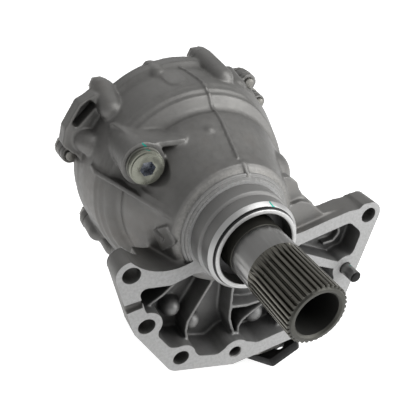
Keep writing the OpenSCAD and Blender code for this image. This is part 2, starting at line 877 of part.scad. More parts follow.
// One taper roller, its ends square to its own axis
module roller(ri, ro, w, grow = 0) {
    slant = mid_r(ri, ro) / sin(taper);
    len_r = (w - 6.4) / cos(taper);
    s0 = slant - len_r / 2;
    s1 = slant + len_r / 2;
    k = roller_r(ri, ro) / slant;
    translate([0, 0, w / 2 - apex(ri, ro)])
        rotate([0, taper, 0])
            translate([0, 0, s0 - grow])
                cylinder(h = s1 - s0 + 2 * grow, r1 = k * s0 + grow, r2 = k * s1 + grow, $fn = 24);
}

module bearing_rollers(ri, ro, w, count) {
    color([0.7, 0.7, 0.72])
        for (i = [0 : count - 1]) {
            rotate(i * 360 / count)
                roller(ri, ro, w);
        }
}

module bearing_cage(ri, ro, w, count) {
    t = 0.7;
    a = apex(ri, ro);
    function cage_r(z, off) = (a + z - w / 2) * tan(taper) + off;
    color([0.5, 0.45, 0.3])
        difference() {
            rotate_extrude($fn = 96)
                polygon([
                    [cage_r(1.6, 0.4), 1.6], [cage_r(1.6, 0.4 + t), 1.6],
                    [cage_r(w - 0.6, 0.4 + t), w - 0.6], [cage_r(w - 0.6, 0.4), w - 0.6]
                ]);
            for (i = [0 : count - 1]) {
                rotate(i * 360 / count)
                    roller(ri, ro, w, 0.15);
            }
        }
}

// Places of the four bearings
module at_front() {
    translate([0, front_cup_y, 0])
        rotate([-90, 0, 0])
            children();
}
module at_rear() {
    translate([0, rear_cup_y + bearing_w, 0])
        rotate([90, 0, 0])
            children();
}
module at_head() {
    on_pinion_axis()
        translate([0, 0, head_q + head_w])
            rotate([180, 0, 0])
                children();
}
module at_tail() {
    on_pinion_axis()
        translate([0, 0, tail_q])
            children();
}

module front_bearing_cup() { at_front() bearing_cup(seat_r, 40, bearing_w); }
module front_bearing_cone() { at_front() bearing_cone(seat_r, 40, bearing_w); }
module front_bearing_rollers() { at_front() bearing_rollers(seat_r, 40, bearing_w, 21); }
module front_bearing_cage() { at_front() bearing_cage(seat_r, 40, bearing_w, 21); }
module rear_bearing_cup() { at_rear() bearing_cup(seat_r, 40, bearing_w); }
module rear_bearing_cone() { at_rear() bearing_cone(seat_r, 40, bearing_w); }
module rear_bearing_rollers() { at_rear() bearing_rollers(seat_r, 40, bearing_w, 21); }
module rear_bearing_cage() { at_rear() bearing_cage(seat_r, 40, bearing_w, 21); }
module head_bearing_cup() { at_head() bearing_cup(17.5, 36, head_w); }
module head_bearing_cone() { at_head() bearing_cone(17.5, 36, head_w); }
module head_bearing_rollers() { at_head() bearing_rollers(17.5, 36, head_w, 16); }
module head_bearing_cage() { at_head() bearing_cage(17.5, 36, head_w, 16); }
module tail_bearing_cup() { at_tail() bearing_cup(15, 31, tail_w); }
module tail_bearing_cone() { at_tail() bearing_cone(15, 31, tail_w); }
module tail_bearing_rollers() { at_tail() bearing_rollers(15, 31, tail_w, 15); }
module tail_bearing_cage() { at_tail() bearing_cage(15, 31, tail_w, 15); }

module preload_shim() {
    color([0.7, 0.7, 0.7])
        turned()
            polygon([[34.5, rear_cup_y + 20], [40, rear_cup_y + 20], [40, rear_cup_y + 24], [34.5, rear_cup_y + 24]]);
}

module pinion() {
    hub_r = 22.2;
    wall_r = 21.4;
    recess_r = 12;
    color([0.35, 0.35, 0.36])
        on_pinion_axis()
            union() {
                rotate_extrude($fn = 96)
                    polygon([
                        [0, 54.5], [recess_r + 1, 54.5], [recess_r + 1, 74.5], [hub_r, 74.5],
                        [hub_r, head_q - 3], [22, head_q - 1], [17.5, head_q - 1],
                        [17.5, head_q + head_w], [16.5, head_q + head_w + 1], [16.5, 116], [15, 117],
                        [15, tail_q + tail_w - 0.5], [13, tail_q + tail_w - 0.5], [13, nut_q - 1],
                        [10, nut_q - 0.5], [10, nut_q + 12], [9, nut_q + 13], [0, nut_q + 13]
                    ]);
                toothed_ring(
                    pinion_teeth, pinion_cone, profile_shift, 90 + 180 / pinion_teeth,
                    [end_cone(pinion_cone, wall_r, 1), [wall_r, 77], [recess_r, 77],
                        end_cone(pinion_cone, recess_r, inner_scale)]
                );
            }
}

module pinion_shim() {
    color([0.7, 0.7, 0.7])
        on_pinion_axis()
            translate([0, 0, head_q - 1])
                difference() {
                    cylinder(h = 1, r = 22);
                    translate([0, 0, -1])
                        cylinder(h = 3, r = 17.5);
                }
}

module crush_sleeve() {
    q0 = head_q + head_w - 1;
    q1 = tail_q + 1;
    color([0.5, 0.5, 0.5])
        on_pinion_axis()
            rotate_extrude($fn = 96)
                polygon([
                    [17.6, q0], [20, q0], [20, q0 + 8], [23, q0 + 12], [23, q0 + 15], [20, q0 + 19], [20, q1],
                    [17.6, q1], [17.6, q0 + 19], [20.4, q0 + 15], [20.4, q0 + 12], [17.6, q0 + 8]
                ]);
}

module pinion_seal() {
    color([0.08, 0.08, 0.08])
        on_pinion_axis()
            rotate([90, 0, 0])
                mirror([0, 1, 0])
                    lip_seal(-(nose_q - 1), 9, 31, 21.05);
}

module dust_shield() {
    color([0.25, 0.25, 0.25])
        on_pinion_axis()
            rotate_extrude($fn = 96)
                polygon([
                    [24, 167], [40, 167], [41.5, 166], [41.5, 157], [43, 157], [43, 167], [41, 168.5], [24, 168.5]
                ]);
}

// Three-lobed companion flange, one lobe towards the mounting flange
lobe_turn = -92;
module companion_outline() {
    tip_half = 15;
    polygon(rounded([
        for (i = [0 : 2], side = [-1, 1])
            let (a = lobe_turn + 120 * i)
            concat(polar(lobe_r, a) + polar(side * tip_half, a + 90), [4])
    ]));
}

module companion_flange() {
    color([0.07, 0.07, 0.07])
        on_pinion_axis()
            difference() {
                union() {
                    translate([0, 0, companion_q - 12])
                        linear_extrude(12)
                            companion_outline();
                    rotate_extrude($fn = 96)
                        polygon([
                            [13.02, tail_q + tail_w], [21, tail_q + tail_w], [21, 164], [24, 166],
                            [24, 168.6], [30, 170], [30, companion_q - 6], [13.02, companion_q - 6]
                        ]);
                }
                translate([0, 0, nut_q - 2])
                    cylinder(h = 30, r = 13.02);
                translate([0, 0, nut_q])
                    cylinder(h = 20, r = 20);
                for (i = [0 : 2]) {
                    rotate(lobe_turn + 120 * i)
                        translate([40, 0, companion_q - 20])
                            cylinder(h = 30, r = 5.25);
                }
            }
}

module pinion_nut() {
    color([0.5, 0.5, 0.5])
        on_pinion_axis()
            translate([0, 0, nut_q])
                difference() {
                    union() {
                        cylinder(h = 2, r = 19);
                        translate([0, 0, 1.9])
                            cylinder(h = 9, r = 15 / cos(30), $fn = 6);
                    }
                    translate([0, 0, -1])
                        cylinder(h = 20, r = 10);
                }
}

// Threaded plug with a hex socket, head face towards -Y
module hex_plug(at, y, head_r, head_h, shank_r, shank_len, socket_af) {
    difference() {
        union() {
            rod(at, y - head_h, y, head_r - 1.2);
            rod(at, y - head_h + 1.2, y, head_r);
            rod(at, y - eps, y + shank_len, shank_r);
        }
        translate([at[0], y - head_h - 1, at[1]])
            rotate([-90, 0, 0])
                cylinder(h = 9, r = socket_af / 2 / cos(30), $fn = 6);
    }
}

module fill_plug() {
    color([0.55, 0.55, 0.42])
        hex_plug(fill_at, fill_face_y - 2, 12.5, 6, 9, 14, 10);
}

module washer(at, y0, y1, r_out, r_in) {
    difference() {
        rod(at, y0, y1, r_out);
        rod(at, y0 - 1, y1 + 1, r_in);
    }
}

module fill_plug_washer() {
    color([0.3, 0.3, 0.28])
        washer(fill_at, fill_face_y - 2, fill_face_y, 13, 9);
}

module drain_plug() {
    color([0.55, 0.55, 0.42])
        hex_plug(drain_at, drain_face_y - 2, 11, 6, 7, 14, 8);
}

module drain_plug_washer() {
    color([0.3, 0.3, 0.28])
        washer(drain_at, drain_face_y - 2, drain_face_y, 12, 7);
}

module breather() {
    color([0.3, 0.3, 0.3]) {
        rod(breather_at, cover_y + 30, cover_y + 48, 4);
        rod(breather_at, cover_y + 38, cover_y + 41, 6.5);
        rod(breather_at, cover_y + 45, cover_y + 52, 6.5, 5.5);
    }
}

module mounting_stud() {
    color([0.4, 0.4, 0.4]) {
        rod(boss_f, -stud_out, -0.6, stud_d / 2);
        rod(boss_f, -0.6 - eps, 17, stud_root_r);
        rod(boss_f, -stud_out - 1, -stud_out + eps, stud_d / 2 - 1, stud_d / 2);
    }
}

case();
cover();
cover_bolts();
cover_dowels();
spigot_o_ring();
input_seal();
half_shaft_seal();
input_shaft();
ring_gear();
ring_gear_bolts();
front_bearing_cup();
front_bearing_cone();
front_bearing_rollers();
front_bearing_cage();
rear_bearing_cup();
rear_bearing_cone();
rear_bearing_rollers();
rear_bearing_cage();
preload_shim();
pinion();
head_bearing_cup();
head_bearing_cone();
head_bearing_rollers();
head_bearing_cage();
tail_bearing_cup();
tail_bearing_cone();
tail_bearing_rollers();
tail_bearing_cage();
crush_sleeve();
pinion_shim();
pinion_seal();
dust_shield();
companion_flange();
pinion_nut();
fill_plug();
fill_plug_washer();
drain_plug();
drain_plug_washer();
breather();
mounting_stud();
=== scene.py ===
# Transfer case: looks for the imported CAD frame
import math

import bmesh
import bpy
from mathutils import Matrix, Vector
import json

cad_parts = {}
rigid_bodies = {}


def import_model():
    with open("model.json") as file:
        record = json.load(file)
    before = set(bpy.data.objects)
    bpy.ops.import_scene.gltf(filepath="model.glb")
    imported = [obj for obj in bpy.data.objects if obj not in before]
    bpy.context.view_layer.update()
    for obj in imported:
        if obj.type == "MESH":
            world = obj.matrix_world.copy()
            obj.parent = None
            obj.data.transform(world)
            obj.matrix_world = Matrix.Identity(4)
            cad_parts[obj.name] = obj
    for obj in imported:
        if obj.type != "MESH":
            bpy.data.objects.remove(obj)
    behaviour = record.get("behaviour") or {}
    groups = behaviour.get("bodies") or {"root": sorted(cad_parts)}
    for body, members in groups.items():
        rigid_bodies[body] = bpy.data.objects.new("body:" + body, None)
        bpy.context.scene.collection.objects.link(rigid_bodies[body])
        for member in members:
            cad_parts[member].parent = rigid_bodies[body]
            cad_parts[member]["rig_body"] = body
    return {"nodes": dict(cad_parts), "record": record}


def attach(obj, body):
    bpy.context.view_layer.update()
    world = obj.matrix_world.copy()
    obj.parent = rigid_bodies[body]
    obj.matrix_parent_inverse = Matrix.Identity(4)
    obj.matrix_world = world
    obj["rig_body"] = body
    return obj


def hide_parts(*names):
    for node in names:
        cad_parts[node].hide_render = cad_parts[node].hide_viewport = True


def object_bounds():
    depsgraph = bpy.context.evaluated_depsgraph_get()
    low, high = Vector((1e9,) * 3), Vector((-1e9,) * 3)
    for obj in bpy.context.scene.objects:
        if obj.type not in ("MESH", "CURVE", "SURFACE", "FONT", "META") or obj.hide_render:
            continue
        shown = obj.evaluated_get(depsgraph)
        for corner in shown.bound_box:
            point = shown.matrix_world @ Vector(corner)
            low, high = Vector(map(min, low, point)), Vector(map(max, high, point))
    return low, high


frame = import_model()
nodes = frame["nodes"]
cad_low, cad_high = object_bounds()
collection = bpy.context.scene.collection

# Places taken from the part's source, in metres
SPIGOT_R = 0.0345
SPIGOT_FOOT_R = 0.0363
SPIGOT_BORE_R = 0.0277
SPIGOT_END_Y = -0.0278
SHAFT_BORE_R = 0.024
SEAL_STEP_Y = -0.005
TUBE_BORE_R = 0.0152
TUBE_END_Y = -0.0989
SPLINE_FOOT_Y = -0.0519
OILY_FROM_Y = -0.0305
COLLAR_R = 0.0425
FLANGE_T = 0.02
POCKET_END_Y = 0.026
COVER_Y = 0.118
BOLT_FACE_Y = 0.127
FILL_AT = Vector((-0.0535, 0.038, 0.0465))
SOCKET_R = 0.0059
STUD_TIP_Y = -0.0105
HOOK_PAD_AT = Vector((-0.050, 0.013, 0.0005))
PINION_Y = 0.0625
PINION_LEAN = math.radians(20)


# Camera: the photograph's own viewpoint
def make_camera():
    camera = bpy.data.objects.new("camera", bpy.data.cameras.new("camera"))
    collection.objects.link(camera)
    camera.data.sensor_width = 36
    camera.data.lens = 36 * 595 / 416
    right = Vector((0.899, -0.437, 0))
    back = Vector((-0.370, -0.761, 0.533)).normalized()
    up = back.cross(right).normalized()
    right = up.cross(back).normalized()
    turn = Matrix((right, up, back)).transposed().to_4x4()
    camera.matrix_world = Matrix.Translation((-0.1708, -0.3033, 0.2368)) @ turn
    camera.data.clip_start = 0.01
    bpy.context.scene.camera = camera


# Small helpers for shader trees
def add(tree, kind, place=(0, 0), **settings):
    node = tree.nodes.new(kind)
    node.location = place
    for name, value in settings.items():
        setattr(node, name, value)
    return node


def join(tree, source, target):
    tree.links.new(source, target)


def value_math(tree, operation, first, second=None, third=None):
    node = add(tree, "ShaderNodeMath", operation=operation)
    for socket, given in zip(node.inputs, (first, second, third)):
        if given is None:
            continue
        if isinstance(given, (int, float)):
            socket.default_value = given
        else:
            join(tree, given, socket)
    return node.outputs[0]


def vector_math(tree, operation, first, second):
    node = add(tree, "ShaderNodeVectorMath", operation=operation)
    join(tree, first, node.inputs[0])
    join(tree, second, node.inputs[1])
    return node.outputs["Value"] if operation in ("DOT_PRODUCT", "DISTANCE") else node.outputs["Vector"]


def mix_colour(tree, mask, low, high, blend="MIX"):
    node = add(tree, "ShaderNodeMix", data_type="RGBA", blend_type=blend)
    for socket, given in ((node.inputs[0], mask), (node.inputs[6], low), (node.inputs[7], high)):
        if isinstance(given, (int, float)):
            socket.default_value = given
        elif isinstance(given, tuple):
            socket.default_value = (*given, 1)
        else:
            join(tree, given, socket)
    return node.outputs[2]


def noise(tree, at, scale, detail=4, roughness=0.55):
    node = add(tree, "ShaderNodeTexNoise")
    join(tree, at, node.inputs["Vector"])
    node.inputs["Scale"].default_value = scale
    node.inputs["Detail"].default_value = detail
    node.inputs["Roughness"].default_value = roughness
    return node.outputs["Fac"]


def stretched(tree, at, scale):
    node = add(tree, "ShaderNodeMapping")
    join(tree, at, node.inputs["Vector"])
    node.inputs["Scale"].default_value = scale
    return node.outputs["Vector"]


def ramp(tree, value, low, high, to_low=0.0, to_high=1.0):
    node = add(tree, "ShaderNodeMapRange")
    join(tree, value, node.inputs["Value"])
    for name, given in (("From Min", low), ("From Max", high), ("To Min", to_low), ("To Max", to_high)):
        node.inputs[name].default_value = given
    return node.outputs["Result"]


def new_group(name, inputs, outputs):
    tree = bpy.data.node_groups.new(name, "ShaderNodeTree")
    for label, kind, start in inputs:
        socket = tree.interface.new_socket(label, in_out="INPUT", socket_type=kind)
        socket.default_value = start
    for label, kind in outputs:
        tree.interface.new_socket(label, in_out="OUTPUT", socket_type=kind)
    return tree, add(tree, "NodeGroupInput"), add(tree, "NodeGroupOutput")


FLOAT = "NodeSocketFloat"
COLOUR = "NodeSocketColor"
VECTOR = "NodeSocketVector"


# Cast skin: fine sand grain, soft swells, and brownish stain that gathers in patches
def cast_skin_group():
    tree, given, result = new_group(
        "cast_skin",
        [("Colour", COLOUR, (0.2, 0.2, 0.2, 1)), ("Stain", FLOAT, 0.5), ("Roughness", FLOAT, 0.6)],
        [("Colour", COLOUR), ("Roughness", FLOAT), ("Height", FLOAT)],
    )
    at = add(tree, "ShaderNodeTexCoord").outputs["Object"]
    grain = noise(tree, at, 1500, 3, 0.6)
    mottle = noise(tree, at, 260, 4, 0.6)
    cloud = noise(tree, at, 34, 5, 0.6)
    drift = noise(tree, stretched(tree, at, (1, 0.45, 1)), 18, 4, 0.6)
    swell = ramp(tree, cloud, 0.3, 0.7, 0.86, 1.14)
    shade = value_math(tree, "ADD", swell, ramp(tree, mottle, 0.3, 0.7, -0.06, 0.06))
    shaded = add(tree, "ShaderNodeVectorMath", operation="SCALE")
    join(tree, given.outputs["Colour"], shaded.inputs[0])
    join(tree, shade, shaded.inputs["Scale"])
    brown = value_math(tree, "MULTIPLY", ramp(tree, drift, 0.52, 0.72), given.outputs["Stain"])
    stain = value_math(tree, "MULTIPLY", brown, 0.5)
    stained = mix_colour(tree, stain, shaded.outputs[0], (0.16, 0.125, 0.095))
    join(tree, stained, result.inputs["Colour"])
    rough = value_math(tree, "ADD", given.outputs["Roughness"], ramp(tree, mottle, 0.3, 0.7, -0.08, 0.08))
    join(tree, rough, result.inputs["Roughness"])
    coarse = value_math(tree, "MULTIPLY", mottle, 0.65)
    height = value_math(tree, "MULTIPLY_ADD", grain, 0.35, coarse)
    join(tree, height, result.inputs["Height"])
    return tree


# Worn edges, and painted shade that darkens hollows, creases and recesses, both read from the shape itself
def wear_and_shade_group():
    tree, given, result = new_group(
        "wear_and_shade",
        [
            ("Colour", COLOUR, (0.2, 0.2, 0.2, 1)), ("Edge", COLOUR, (0.5, 0.5, 0.5, 1)),
            ("Edge amount", FLOAT, 0.4), ("Hollow", COLOUR, (0.03, 0.028, 0.022, 1)),
            ("Hollow amount", FLOAT, 0.5), ("Reach", FLOAT, 0.012),
        ],
        [("Colour", COLOUR)],
    )
    at = add(tree, "ShaderNodeTexCoord").outputs["Object"]
    scratchy = noise(tree, at, 420, 3, 0.7)
    outside = add(tree, "ShaderNodeAmbientOcclusion", samples=8, inside=True)
    outside.inputs["Distance"].default_value = 0.0012
    edge = ramp(tree, outside.outputs["AO"], 0.25, 0.75, 1, 0)
    worn = value_math(tree, "MULTIPLY", edge, ramp(tree, scratchy, 0.35, 0.6))
    worn = value_math(tree, "MULTIPLY", worn, given.outputs["Edge amount"])
    # Painted shade: ambient occlusion darkens hollows, creases and recesses toward the dark colour
    hollow_shade_probe = add(tree, "ShaderNodeAmbientOcclusion", samples=8)
    join(tree, given.outputs["Reach"], hollow_shade_probe.inputs["Distance"])
    hollow_shade = ramp(tree, hollow_shade_probe.outputs["AO"], 0.85, 0.2)
    hollow_shade = value_math(tree, "MULTIPLY", hollow_shade, given.outputs["Hollow amount"])
    edged = mix_colour(tree, worn, given.outputs["Colour"], given.outputs["Edge"])
    join(tree, mix_colour(tree, hollow_shade, edged, given.outputs["Hollow"]), result.inputs["Colour"])
    return tree


# Tool marks: fine rings across the input axis on turned metal, or fine parallel lines on milled metal
def tool_marks_group():
    tree, given, result = new_group(
        "tool_marks",
        [("Colour", COLOUR, (0.5, 0.5, 0.5, 1)), ("Lines per metre", FLOAT, 3000), ("Depth", FLOAT, 0.2),
         ("Turned", FLOAT, 1.0), ("Roughness", FLOAT, 0.3)],
        [("Colour", COLOUR), ("Roughness", FLOAT), ("Height", FLOAT)],
    )
    at = add(tree, "ShaderNodeTexCoord").outputs["Object"]
    split = add(tree, "ShaderNodeSeparateXYZ")
    join(tree, at, split.inputs[0])
    across = value_math(tree, "MULTIPLY", split.outputs["X"], 0.83)
    slanted = value_math(tree, "MULTIPLY_ADD", split.outputs["Z"], 0.55, across)
    x_squared = value_math(tree, "MULTIPLY", split.outputs["X"], split.outputs["X"])
    z_squared = value_math(tree, "MULTIPLY", split.outputs["Z"], split.outputs["Z"])
    around = value_math(tree, "SQRT", value_math(tree, "ADD", x_squared, z_squared))
    along = value_math(tree, "ADD", split.outputs["Y"], around)
    place = add(tree, "ShaderNodeMix", data_type="FLOAT")
    join(tree, given.outputs["Turned"], place.inputs[0])
    join(tree, slanted, place.inputs[2])
    join(tree, along, place.inputs[3])
    beat = value_math(tree, "MULTIPLY", place.outputs[0], given.outputs["Lines per metre"])
    line_at = add(tree, "ShaderNodeCombineXYZ")
    join(tree, beat, line_at.inputs[0])
    lines = noise(tree, line_at.outputs[0], 1, 3, 0.7)
    cloud = noise(tree, at, 55, 4, 0.6)
    streak = ramp(tree, lines, 0.3, 0.7, 0.96, 1.03)
    shade = value_math(tree, "ADD", streak, ramp(tree, cloud, 0.3, 0.7, -0.04, 0.04))
    shaded = add(tree, "ShaderNodeVectorMath", operation="SCALE")
    join(tree, given.outputs["Colour"], shaded.inputs[0])
    join(tree, shade, shaded.inputs["Scale"])
    join(tree, shaded.outputs[0], result.inputs["Colour"])
    rough = value_math(tree, "ADD", given.outputs["Roughness"], ramp(tree, cloud, 0.3, 0.7, -0.06, 0.1))
    join(tree, rough, result.inputs["Roughness"])
    join(tree, value_math(tree, "MULTIPLY", lines, given.outputs["Depth"]), result.inputs["Height"])
    return tree


# Short stroke of marker paint along a straight line, with an uneven edge
def paint_stroke_group():
    tree, given, result = new_group(
        "paint_stroke",
        [("Start", VECTOR, (0, 0, 0)), ("Run", VECTOR, (0, 0, 0.01)), ("Width", FLOAT, 0.0008)],
        [("Mask", FLOAT)],
    )
    at = add(tree, "ShaderNodeTexCoord").outputs["Object"]
    from_start = vector_math(tree, "SUBTRACT", at, given.outputs["Start"])
    run = given.outputs["Run"]
    length_squared = vector_math(tree, "DOT_PRODUCT", run, run)
    share = value_math(tree, "DIVIDE", vector_math(tree, "DOT_PRODUCT", from_start, run), length_squared)
    held = add(tree, "ShaderNodeClamp")
    join(tree, share, held.inputs["Value"])
    nearest = add(tree, "ShaderNodeVectorMath", operation="SCALE")
    join(tree, run, nearest.inputs[0])
    join(tree, held.outputs[0], nearest.inputs["Scale"])
    gap = vector_math(tree, "DISTANCE", from_start, nearest.outputs[0])
    uneven = value_math(tree, "MULTIPLY_ADD", noise(tree, at, 900, 2), 0.0010, gap)
    edge = value_math(tree, "ADD", given.outputs["Width"], 0.0005)
    join(tree, value_math(tree, "LESS_THAN", uneven, edge), result.inputs["Mask"])
    return tree


def make_groups():
    return {
        "cast_skin": cast_skin_group(), "wear_and_shade": wear_and_shade_group(), "tool_marks": tool_marks_group(),
        "paint_stroke": paint_stroke_group(),
    }


groups = make_groups()


def use_group(tree, name, **inputs):
    node = add(tree, "ShaderNodeGroup", node_tree=groups[name])
    for label, given in inputs.items():
        socket = node.inputs[label.replace("_", " ")]
        if isinstance(given, (int, float)):
            socket.default_value = given
        elif isinstance(given, tuple):
            socket.default_value = given if socket.type == "VECTOR" else (*given, 1)
        else:
            join(tree, given, socket)
    return node


def begin(name, metallic, **plain):
    material = bpy.data.materials.new(name)
    material.use_nodes = True
    tree = material.node_tree
    shader = tree.nodes["Principled BSDF"]
    shader.inputs["Metallic"].default_value = metallic
    for label, given in plain.items():
        shader.inputs[label.replace("_", " ")].default_value = given
    return material, tree, shader


def roughen(tree, shader, height, strength, distance):
    bump = add(tree, "ShaderNodeBump")
    bump.inputs["Strength"].default_value = strength
    bump.inputs["Distance"].default_value = distance
    join(tree, height, bump.inputs["Height"])
    join(tree, bump.outputs["Normal"], shader.inputs["Normal"])


# Strokes of green marker paint, each from a start along a run, in metres
BOSS_STROKES = [((-0.0532, 0.038, 0.0616), (0.0026, 0, -0.0027), 0.0006)]
PLUG_STROKES = [((-0.0525, 0.0339, 0.0589), (0.0018, -0.0017, -0.0002), 0.0006)]
SPIGOT_STROKES = [
    ((0.0106, -0.0227, 0.0323), (0.0015, -0.0022, -0.0025), 0.0006),
    ((0.0121, -0.0249, 0.0298), (0.0038, -0.0002, -0.0035), 0.0005),
]
STUD_STROKES = [((0.1046, -0.004, -0.0644), (0.0029, -0.002, -0.0019), 0.0006)]
PAINT = (0.0, 0.27, 0.21)


def painted(tree, colour, strokes):
    for start, run, width in strokes:
        stroke = use_group(tree, "paint_stroke", Start=start, Run=run, Width=width)
        colour = mix_colour(tree, stroke.outputs["Mask"], colour, PAINT)
    return colour


# Metal as it leaves the mould, with stains, and painted shade darkening its hollows
def cast_metal(
    name, colour, stain=0.5, roughness=0.5, hollow_shade=0.6, reach=0.03, metallic=0.5,
    shade_colour=(0.03, 0.029, 0.026), strokes=()
):
    material, tree, shader = begin(name, metallic)
    skin = use_group(tree, "cast_skin", Colour=colour, Stain=stain, Roughness=roughness)
    # Painted shade: hollows darken toward the dark colour over the given reach
    wear = use_group(
        tree, "wear_and_shade", Colour=skin.outputs["Colour"], Edge=(0.36, 0.35, 0.33), Edge_amount=0.35,
        Hollow=shade_colour, Hollow_amount=hollow_shade, Reach=reach,
    )
    join(tree, painted(tree, wear.outputs["Colour"], strokes), shader.inputs["Base Color"])
    join(tree, skin.outputs["Roughness"], shader.inputs["Roughness"])
    roughen(tree, shader, skin.outputs["Height"], 0.35, 0.0003)
    return material


# Heights between which the painted lighter colour on a machined metal's lower side gives way to its plain
# colour above
PAINTED_LIGHT_FADE = (-0.007, 0.004)


# Metal with tool marks, turned or milled, and painted shade darkening its hollows
def machined_metal(
    name, colour, turned=1.0, lines=2600, depth=0.3, roughness=0.32, metallic=0.85,
    hollow_shade=0.3, reach=0.006, edge=(0.7, 0.7, 0.69), shade_colour=(0.03, 0.027, 0.02), strokes=(), painted_light_below=None
):
    material, tree, shader = begin(name, metallic)
    if painted_light_below:
        # Painted light: the metal under the input axis is painted lighter, fading to the plain colour above
        split = add(tree, "ShaderNodeSeparateXYZ")
        join(tree, add(tree, "ShaderNodeTexCoord").outputs["Object"], split.inputs[0])
        colour = mix_colour(tree, ramp(tree, split.outputs["Z"], *PAINTED_LIGHT_FADE), painted_light_below, colour)
    marks = use_group(
        tree, "tool_marks", Colour=colour, Lines_per_metre=lines, Depth=depth, Turned=turned,
        Roughness=roughness,
    )
    # Painted shade: hollows darken toward the dark colour over the given reach
    wear = use_group(
        tree, "wear_and_shade", Colour=marks.outputs["Colour"], Edge=edge, Edge_amount=0.5,
        Hollow=shade_colour, Hollow_amount=hollow_shade, Reach=reach,
    )
    join(tree, painted(tree, wear.outputs["Colour"], strokes), shader.inputs["Base Color"])
    join(tree, marks.outputs["Roughness"], shader.inputs["Roughness"])
    roughen(tree, shader, marks.outputs["Height"], 0.25, 0.0002)
    return material


def rubber(name, colour=(0.012, 0.012, 0.012)):
    material, tree, shader = begin(name, 0.0)
    skin = use_group(tree, "cast_skin", Colour=colour, Stain=0.0, Roughness=0.42)
    join(tree, skin.outputs["Colour"], shader.inputs["Base Color"])
    join(tree, skin.outputs["Roughness"], shader.inputs["Roughness"])
    roughen(tree, shader, skin.outputs["Height"], 0.15, 0.0002)
    return material


def coated(name, colour, edge, roughness=0.38, metallic=0.2, worn=0.5, gloss=0.5, strokes=()):
    material, tree, shader = begin(name, metallic, Specular_IOR_Level=gloss)
    skin = use_group(tree, "cast_skin", Colour=colour, Stain=0.1, Roughness=roughness)
    # Painted shade: hollows darken toward near-black
    wear = use_group(
        tree, "wear_and_shade", Colour=skin.outputs["Colour"], Edge=edge, Edge_amount=worn,
        Hollow=(0.01, 0.01, 0.01), Hollow_amount=0.4, Reach=0.006,
    )
    join(tree, painted(tree, wear.outputs["Colour"], strokes), shader.inputs["Base Color"])
    join(tree, skin.outputs["Roughness"], shader.inputs["Roughness"])
    roughen(tree, shader, skin.outputs["Height"], 0.2, 0.0002)
    return material


